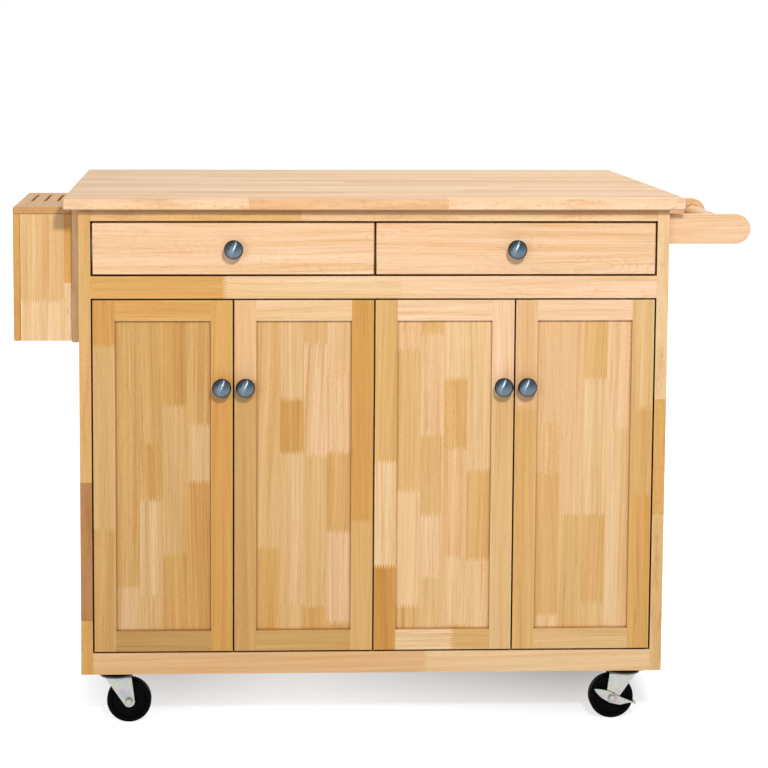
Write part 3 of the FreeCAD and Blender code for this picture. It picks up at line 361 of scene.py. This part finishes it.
def timber(node, material, grain=None, band=0.0, joints=(), tones=("straw",), seed=1.0, boards=None,
           soften=0.7 * MM):
    """Stand a set of wooden boards in for a CAD node, with each board's own grain and tones.

    boards gives, by role, what a board has of its own: its tones, where its finger joints are as
    shares of its length, and how wide the band is that takes those tones.
    """
    mesh = bpy.data.meshes.new(node)
    joined = bmesh.new()
    facts = []
    for number, solid in enumerate(solids_of(node)):
        low, high = corners_of(solid)
        size = high - low
        role = role_of(low, high, node)
        own = {"grain": grain, "band": band, "joints": joints, "tones": tones, **(boards or {}).get(role, {})}
        order = sorted(range(3), key=lambda n: -size[n])
        axis = "xyz".index(own["grain"]) if own["grain"] else order[0]
        rest = [n for n in order if n != axis]
        axes = (axis, rest[0], rest[1])
        splits = [share * size[axis] for share in (*own["joints"], NEVER, NEVER)[:2]]
        row = [TONES[tone] for tone in (*own["tones"], *own["tones"][-1:] * 2)[:3]]
        for vert in solid.verts:
            place = vert.co - low
            facts.append(([place[n] for n in axes], (seed + 0.618 * number, *splits), (own["band"],), *row))
        copies = [joined.verts.new(vert.co) for vert in solid.verts]
        solid.verts.index_update()
        for face in solid.faces:
            made = joined.faces.new([copies[vert.index] for vert in face.verts])
            made.material_index = 0
            made.tag = abs(face.normal[axis]) > 0.9
        solid.free()
    joined.faces.index_update()
    ends = [float(face.tag) for face in joined.faces]
    joined.to_mesh(mesh)
    joined.free()

    def store(name, kind, values, domain="POINT", key="vector"):
        layer = mesh.attributes.new(name, kind, domain)
        layer.data.foreach_set(key, [number for item in values for number in item])

    store("grain", "FLOAT_VECTOR", [fact[0] for fact in facts])
    store("board", "FLOAT_VECTOR", [fact[1] for fact in facts])
    store("band", "FLOAT", [fact[2] for fact in facts], key="value")
    for n, name in enumerate(("tone_near", "tone_middle", "tone_far")):
        store(name, "FLOAT_COLOR", [fact[3 + n] for fact in facts], key="color")
    store("end_grain", "FLOAT", [(value,) for value in ends], "FACE", "value")
    mesh.set_sharp_from_angle(angle=math.radians(30))
    mesh.shade_smooth()
    mesh.materials.append(material)
    piece = bpy.data.objects.new(f"{node}_wood", mesh)
    bpy.context.collection.objects.link(piece)
    bevel = piece.modifiers.new("softened_edges", "BEVEL")
    bevel.width = soften
    bevel.segments = 2
    bevel.limit_method = "ANGLE"
    bevel.angle_limit = math.radians(40)
    bevel.harden_normals = True
    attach(piece, body_by_node[node])
    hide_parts(node)
    return piece


record = frame["record"]
body_by_node = {node: body for body, nodes in record["behaviour"]["bodies"].items() for node in nodes}
slot_by_node = {row["node"]: row["material_slot"] for row in record["subparts"]}

solid_wood = wood("solid_wood", figure=0.45)
# a longer reach paints a wider band of shade on the top rail under the worktop's overhang
rail_wood = wood("top_rail_wood", figure=0.45, reach=0.016)
drawer_wood = wood("drawer_front_wood", figure=0.9, sweep=0.3)
top_wood = wood("worktop_wood", stave=0.044, block=0.42, figure=0.5, tones=("blush", "straw", "rose", "honey", "milk"))
# the knife block takes only a light painted shade in its joints
block_wood = wood("knife_block_wood", figure=0.4, shade=0.25)
case_wood = wood("case_wood", stave=0.045, block=0.36, figure=0.4, tones=("cream", "straw", "honey", "golden"),
                 reach=0.010)
plain_wood = wood("plain_wood", stave=0.4, block=2.0, figure=0.8, tones=("straw", "honey"))

WHOLE = 10.0
DOOR_BOARDS = {
    "door_1": {"left": {"tones": ("tan", "sand", "amber"), "joints": (0.36, 0.88)},
               "right": {"tones": ("amber", "golden"), "joints": (0.74,)},
               "low": {"tones": ("ochre",)}, "high": {"tones": ("golden",)}},
    "door_2": {"left": {"tones": ("tan", "peach"), "joints": (0.78,)},
               "right": {"tones": ("honey", "amber"), "joints": (0.38,)},
               "low": {"tones": ("tan",)}, "high": {"tones": ("cream",)}},
    "door_3": {"left": {"tones": ("russet", "cream", "honey"), "joints": (0.25, 0.55)},
               "right": {"tones": ("straw", "blush"), "joints": (0.74,)},
               "low": {"tones": ("cream", "honey"), "joints": (0.62,)}, "high": {"tones": ("blush",)}},
    "door_4": {"left": {"tones": ("honey", "peach"), "joints": (0.7,)},
               "right": {"tones": ("golden", "honey", "straw"), "joints": (0.45, 0.7)},
               "low": {"tones": ("straw",)}, "high": {"tones": ("blush",)}},
}

# the panels' staves from left to right: what each block is, and where it starts as a share of the height
PANEL_STAVES = {
    "door_1": ((("cream", 0.0), ("honey", 0.16)),
               (("straw", 0.0), ("cream", 0.13), ("golden", 0.43), ("honey", 0.61)),
               (("golden", 0.0), ("straw", 0.26), ("amber", 0.73)),
               (("golden", 0.0), ("cream", 0.49), ("honey", 0.67))),
    "door_2": ((("golden", 0.0), ("straw", 0.28)),
               (("straw", 0.0), ("cream", 0.1), ("amber", 0.58), ("cream", 0.75)),
               (("golden", 0.0), ("straw", 0.09), ("blush", 0.57), ("straw", 0.92)),
               (("honey", 0.0), ("blush", 0.04), ("honey", 0.33), ("blush", 0.58), ("cream", 0.82))),
    "door_3": ((("golden", 0.0), ("cream", 0.09), ("honey", 0.46), ("rose", 0.9)),
               (("straw", 0.0), ("blush", 0.18), ("straw", 0.38), ("rose", 0.63), ("golden", 0.95)),
               (("golden", 0.0), ("cream", 0.03), ("rose", 0.25), ("golden", 0.59), ("cream", 0.81)),
               (("cream", 0.0), ("golden", 0.24), ("cream", 0.52))),
    "door_4": ((("cream", 0.0), ("golden", 0.06), ("straw", 0.51), ("rose", 0.67)),
               (("honey", 0.0), ("rose", 0.38)),
               (("straw", 0.0), ("golden", 0.1), ("cream", 0.38), ("golden", 0.81)),
               (("cream", 0.0), ("blush", 0.65))),
}
PANEL_GROUND = {"door_1": "ochre", "door_2": "tan", "door_3": "straw", "door_4": "straw"}
PANEL_HIDDEN = 0.008
for number, (door, boards) in enumerate(DOOR_BOARDS.items()):
    for role in ("left", "right", "low", "high"):
        boards[role]["band"] = WHOLE
    panel_low, panel_high = next(corners_of(solid) for solid in solids_of(door)
                                 if role_of(*corners_of(solid), door) == "middle")
    panel = panel_high - panel_low
    front_wood = wood(f"{door}_wood", stave=(panel.x - 2 * PANEL_HIDDEN) / len(PANEL_STAVES[door]), figure=0.4,
                      rows=PANEL_STAVES[door], ground=PANEL_GROUND[door], margin=PANEL_HIDDEN, length=panel.z)
    timber(door, front_wood, boards=boards, seed=2.0 + 3.7 * number, soften=0.35 * MM)
for node, seed in (("drawer_1_front", 21.0), ("drawer_2_front", 24.3)):
    timber(node, drawer_wood, band=WHOLE, tones=("blush",), seed=seed)
timber("middle_rail", solid_wood, band=WHOLE, joints=(0.24, 0.55), tones=("golden", "cream", "milk"), seed=35.0)
timber("top_rail", rail_wood, band=WHOLE, joints=(0.1, 0.37), tones=("straw", "honey", "cream"), seed=33.0)
timber("bottom_rail", solid_wood, band=WHOLE, joints=(0.6,), tones=("peach", "cream"), seed=31.0)
timber("worktop", top_wood, seed=41.0, band=0.022, joints=(0.3, 0.62), tones=("blush", "rose", "milk"))
timber("drop_leaf", top_wood, seed=44.0)
timber("left_side", case_wood, seed=51.0, band=0.024, joints=(0.12, 0.42), tones=("golden", "brown", "honey"))
timber("right_side", case_wood, seed=54.0, band=0.024, joints=(0.35, 0.6), tones=("straw", "golden", "cream"))
timber("centre_partition", case_wood, seed=57.0, grain="z")
timber("bottom_board", case_wood, seed=59.0)
timber("shelves", case_wood, seed=61.0)
timber("rear_rails", solid_wood, seed=63.0, band=WHOLE, tones=("straw",))
timber("back_panel", plain_wood, seed=65.0)
for number in (1, 2):
    timber(f"drawer_{number}_box", solid_wood, seed=70.0 + number, band=WHOLE)
    timber(f"drawer_{number}_bottom", plain_wood, seed=74.0 + number)
timber("knife_block_mount", block_wood, grain="z", band=WHOLE, tones=("cream",), seed=81.0)
timber("knife_block_case", block_wood, grain="z", seed=83.0, band=WHOLE, tones=("cream", "straw"), joints=(0.34,),
       boards={"left": {"tones": ("amber",)}, "right": {"tones": ("cream", "golden"), "joints": (0.5,)}},
       soften=0.3 * MM)
timber("knife_block_top", block_wood, band=WHOLE, tones=("amber",), seed=85.0, soften=0.4 * MM)
timber("towel_arms", solid_wood, seed=91.0, band=WHOLE, tones=("blush",))
timber("towel_bar", solid_wood, seed=94.0, band=WHOLE, tones=("cream",), soften=0.4 * MM)


# ---------------------------------------------------------------- metal and rubber

def dress(nodes, material):
    """Give CAD nodes a finish."""
    for node in nodes:
        mesh = frame["nodes"][node].data
        mesh.materials.clear()
        mesh.materials.append(material)


def satin_nickel():
    """Satin nickel turned on a lathe: fine rings round the knob's axis."""
    mat = Material("satin_nickel", Metallic=1.0, Anisotropic=0.95, Anisotropic_Rotation=0.18)
    x, _, z = mat.parts(mat.add("ShaderNodeTexCoord").outputs["Generated"])
    across, up = mat.math("SUBTRACT", x, 0.5), mat.math("SUBTRACT", z, 0.5)
    radius = mat.math("SQRT", mat.math("ADD", mat.math("POWER", across, 2.0), mat.math("POWER", up, 2.0)))
    rings = mat.noise(mat.vector(mat.math("MULTIPLY", radius, 90.0), 0.0, 0.0), 1.0, 2.0)
    # painted shade: the knob darkens towards its rim
    painted_dark_rim = mat.scaled(radius, 0.40, 0.5)
    colour = mat.blend(rings, linear(92, 108, 120), linear(120, 135, 146))
    mat.feed(mat.shader.inputs["Base Color"], mat.blend(painted_dark_rim, colour, linear(62, 66, 72)))
    mat.feed(mat.shader.inputs["Roughness"], mat.scaled(rings, 0.3, 0.7, 0.33, 0.40))
    mat.feed(mat.shader.inputs["Tangent"], mat.add("ShaderNodeTangent", direction_type="RADIAL", axis="Z").outputs[0])
    mat.bump(rings, 0.01 * MM, 0.5)
    return mat.data


CROWN_FOOT = 0.0785
CROWN_TOP = 0.0845


def zinc_steel():
    """Bright zinc plate with a faint yellow and pink bloom, with painted shade where pieces meet and in a band on the
    fork's crown under the plate.
    """
    mat = Material("zinc_steel", Metallic=0.9)
    place = mat.add("ShaderNodeTexCoord").outputs["Object"]
    bloom = mat.noise(place, 55.0, 2.0)
    colour = mat.ramp(bloom, [(0.30, linear(166, 176, 182)), (0.5, linear(186, 186, 172)),
                              (0.62, linear(184, 172, 176)), (0.75, linear(156, 172, 188))])
    # painted shade: the zinc darkens where pieces meet and on the top of the fork's crown under the plate
    painted_shade_ao = mat.add("ShaderNodeAmbientOcclusion", samples=2)
    painted_shade_ao.inputs["Distance"].default_value = 0.003
    height = mat.parts(place)[2]
    crown_painted_shade = mat.scaled(height, CROWN_FOOT, CROWN_FOOT + 2 * MM, 0.0, 0.85)
    zinc_painted_shade = mat.math("MAXIMUM", mat.scaled(painted_shade_ao.outputs["AO"], 0.35, 0.85, 0.85, 0.0),
                     mat.math("MULTIPLY", crown_painted_shade, mat.scaled(height, CROWN_TOP, CROWN_TOP + MM, 1.0, 0.0)))
    mat.feed(mat.shader.inputs["Base Color"], mat.blend(zinc_painted_shade, colour, linear(40, 38, 32)))
    mat.feed(mat.shader.inputs["Roughness"], mat.scaled(mat.noise(place, 300.0, 3.0), 0.3, 0.7, 0.25, 0.42))
    mat.bump(mat.noise(place, 900.0, 2.0), 0.02 * MM, 0.5)
    return mat.data


def black_rubber():
    """Smooth black rubber and plastic, a little dusty in patches."""
    mat = Material("black_rubber", Specular_IOR_Level=0.04)
    place = mat.add("ShaderNodeTexCoord").outputs["Object"]
    dust = mat.noise(place, 40.0, 4.0)
    mat.feed(mat.shader.inputs["Base Color"], mat.blend(mat.scaled(dust, 0.4, 0.8), linear(2, 2, 3), linear(7, 7, 9)))
    mat.feed(mat.shader.inputs["Roughness"], mat.scaled(dust, 0.3, 0.7, 0.42, 0.6))
    mat.bump(mat.noise(place, 700.0, 3.0), 0.03 * MM, 0.4)
    return mat.data


def dark_steel():
    """Oiled dark steel in the casters' races, made darker as painted shade under the cabinet."""
    mat = Material("dark_steel", Metallic=0.7)
    place = mat.add("ShaderNodeTexCoord").outputs["Object"]
    film = mat.noise(place, 120.0, 3.0)
    mat.feed(mat.shader.inputs["Base Color"], mat.blend(film, linear(24, 21, 13), linear(50, 45, 31)))
    mat.feed(mat.shader.inputs["Roughness"], mat.scaled(film, 0.3, 0.7, 0.32, 0.5))
    return mat.data


names = list(frame["nodes"])
dress([name for name in names if name.endswith("_knob")], satin_nickel())
dress([name for name in names if name.endswith("_wheel")], black_rubber())
# the caster plates and pivots take this darker steel rather than zinc: oily in the races, and darker still as painted
# shade under the cabinet
dark = [name for name in names if name == "caster_plates" or name.endswith("_pivots")]
dress(dark, dark_steel())
dress([name for name in names if slot_by_node[name] == "zinc_steel" and name not in dark], zinc_steel())


# ---------------------------------------------------------------- floor, light and camera

# how bright the floor's own glow is under the cart's left end, its middle and its right end; these lower levels paint
# part of the cart's shadow
SHADOW_GLOW_LEFT = 0.50
SHADOW_GLOW_MIDDLE = 0.63
SHADOW_GLOW_RIGHT = 0.33
CART_END = 0.36

def make_floor():
    """A white floor that keeps the cart's soft shadow, part of which is painted by its own glow dropping under the
    cart.
    """
    mesh = bpy.data.meshes.new("floor")
    reach = 12.0
    mesh.from_pydata([(-reach, -reach, 0), (reach, -reach, 0), (reach, reach, 0), (-reach, reach, 0)], [], [(0, 1, 2, 3)])
    floor = bpy.data.objects.new("floor", mesh)
    bpy.context.collection.objects.link(floor)
    mat = Material("white_floor", Roughness=0.9, Specular_IOR_Level=0.1)
    mat.shader.inputs["Base Color"].default_value = linear(178, 184, 192)
    output = next(node for node in mat.nodes if node.type == "OUTPUT_MATERIAL")
    # painted shadow: the floor's own glow drops under the cart, most at its ends by the casters, and further out the
    # floor is its own white
    x, y, _ = mat.parts(mat.add("ShaderNodeTexCoord").outputs["Object"])
    painted_shadow_glow = mat.math("MINIMUM", mat.scaled(x, -CART_END, -0.18, SHADOW_GLOW_LEFT, SHADOW_GLOW_MIDDLE),
                     mat.scaled(x, -0.1, CART_END, SHADOW_GLOW_MIDDLE, SHADOW_GLOW_RIGHT))
    beside = mat.scaled(mat.math("ABSOLUTE", x), 0.42, 0.60)
    before = mat.scaled(mat.math("ABSOLUTE", y), 0.04, 0.50)
    away = mat.math("SQRT", mat.math("ADD", mat.math("POWER", beside, 2.0), mat.math("POWER", before, 2.0)))
    path = mat.add("ShaderNodeLightPath")
    seen = mat.math("MAXIMUM", path.outputs["Is Camera Ray"], path.outputs["Is Glossy Ray"])
    glow = mat.add("ShaderNodeEmission")
    mat.feed(glow.inputs["Strength"], mat.math("MULTIPLY", seen, mat.scaled(away, 0.0, 1.0, painted_shadow_glow, 1.0)))
    both = mat.add("ShaderNodeAddShader")
    mat.links.new(mat.shader.outputs[0], both.inputs[0])
    mat.links.new(glow.outputs[0], both.inputs[1])
    mat.links.new(both.outputs[0], output.inputs["Surface"])
    mesh.materials.append(mat.data)


def make_world():
    """White behind everything, and an even pale light."""
    world = bpy.data.worlds.new("studio")
    bpy.context.scene.world = world
    world.use_nodes = True
    nodes, links = world.node_tree.nodes, world.node_tree.links
    nodes.clear()
    path = nodes.new("ShaderNodeLightPath")
    seen = nodes.new("ShaderNodeMath")
    seen.operation = "MAXIMUM"
    links.new(path.outputs["Is Camera Ray"], seen.inputs[0])
    links.new(path.outputs["Is Transmission Ray"], seen.inputs[1])
    white = nodes.new("ShaderNodeBackground")
    white.inputs["Color"].default_value = (1.0, 1.0, 1.0, 1.0)
    even = nodes.new("ShaderNodeBackground")
    even.inputs["Color"].default_value = linear(250, 250, 250)
    # the white backdrop behind the cart shines more than the room in front of it
    ways = nodes.new("ShaderNodeSeparateXYZ")
    links.new(nodes.new("ShaderNodeTexCoord").outputs["Generated"], ways.inputs[0])
    behind = nodes.new("ShaderNodeMapRange")
    links.new(ways.outputs["Y"], behind.inputs["Value"])
    for socket, value in (("From Min", -0.1), ("From Max", 0.5), ("To Min", 0.36), ("To Max", 0.72)):
        behind.inputs[socket].default_value = value
    links.new(behind.outputs[0], even.inputs["Strength"])
    mix = nodes.new("ShaderNodeMixShader")
    links.new(seen.outputs[0], mix.inputs[0])
    links.new(even.outputs[0], mix.inputs[1])
    links.new(white.outputs[0], mix.inputs[2])
    output = nodes.new("ShaderNodeOutputWorld")
    links.new(mix.outputs[0], output.inputs["Surface"])


def softbox(name, place, aim, wide, tall, power, colour=(1.0, 1.0, 1.0)):
    """A rectangular studio lamp at a place, turned to a point."""
    lamp = bpy.data.lights.new(name, "AREA")
    lamp.shape = "RECTANGLE"
    lamp.size = wide
    lamp.size_y = tall
    lamp.energy = power
    lamp.color = colour
    item = bpy.data.objects.new(name, lamp)
    item.location = place
    item.rotation_euler = (Vector(aim) - Vector(place)).to_track_quat("-Z", "Y").to_euler()
    item.visible_camera = False
    bpy.context.collection.objects.link(item)
    return item


make_floor()
make_world()
softbox("key", (0.35, -3.5, 2.5), (0.0, -0.3, 0.5), 0.35, 0.35, 78.0)
softbox("fill", (-1.6, -3.2, 1.3), (0.0, 0.0, 0.5), 0.9, 0.9, 16.0)
softbox("top", (0.5, 0.5, 2.5), (0.0, 0.0, 0.9), 2.0, 1.2, 19.0)

CAMERA_PLACE = (-0.274, -4.17, 1.189)
CAMERA_TURN = -2.39
CAMERA_TILT = -6.22
CAMERA_ROLL = 0.21
camera = bpy.data.cameras.new("camera")
camera.lens = 107.4
camera.shift_x = 0.09
camera.shift_y = -0.14
eye = bpy.data.objects.new("camera", camera)
eye.location = CAMERA_PLACE
aim = Euler((math.radians(90 + CAMERA_TILT), 0, math.radians(CAMERA_TURN))).to_quaternion()
eye.rotation_euler = (aim @ Quaternion((0, 0, 1), math.radians(CAMERA_ROLL))).to_euler()
bpy.context.collection.objects.link(eye)
bpy.context.scene.camera = eye
bpy.context.scene.view_settings.view_transform = "Standard"
